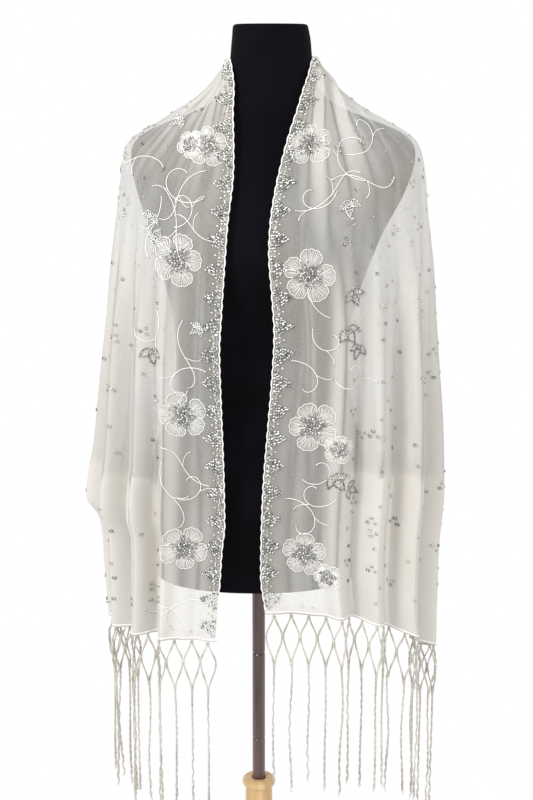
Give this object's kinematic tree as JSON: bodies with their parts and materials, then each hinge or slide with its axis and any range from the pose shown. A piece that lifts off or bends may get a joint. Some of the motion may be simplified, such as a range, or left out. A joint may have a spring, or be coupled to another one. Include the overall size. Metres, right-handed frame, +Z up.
{
  "type": "sheer shawl draped on a limbless dress form",
  "caption": "Sheer embroidered shawl with a knotted fringe at each end, draped over the shoulders of a limbless dress form on a turned wooden stand.",
  "frame": {"origin": "on the floor, at the centre of the stand's base and under the middle of its pole", "axes": "+Z up, the front of the dress form and the shawl's open edges towards -Y, the wearer's left towards +X"},
  "size_m": [0.5098, 0.34, 1.5616],
  "materials": {
    "ivory_net": "sheer ivory net, seen here as an opaque wall",
    "ivory_silk": "satin-stitched ivory thread",
    "fringe_yarn": "soft twisted yarn",
    "black_jersey": "matte black stretch cover",
    "dark_wood": "dark brown varnish",
    "light_wood": "clear satin varnish"
  },
  "bodies": {
    "root": {"dress_form": "black_jersey", "stand_pole": "dark_wood", "stand_socket": "light_wood", "stand_base": "light_wood", "shawl_right_front": "ivory_net", "shawl_left_front": "ivory_net", "shawl_back": "ivory_net", "fringe_right": "fringe_yarn", "fringe_left": "fringe_yarn", "flower_01": "ivory_silk", "flower_02": "ivory_silk", "flower_03": "ivory_silk", "flower_04": "ivory_silk", "flower_05": "ivory_silk", "flower_06": "ivory_silk", "flower_07": "ivory_silk", "flower_08": "ivory_silk", "flower_09": "ivory_silk", "flower_10": "ivory_silk", "flower_11": "ivory_silk", "flower_12": "ivory_silk"}
  },
  "joints": []
}
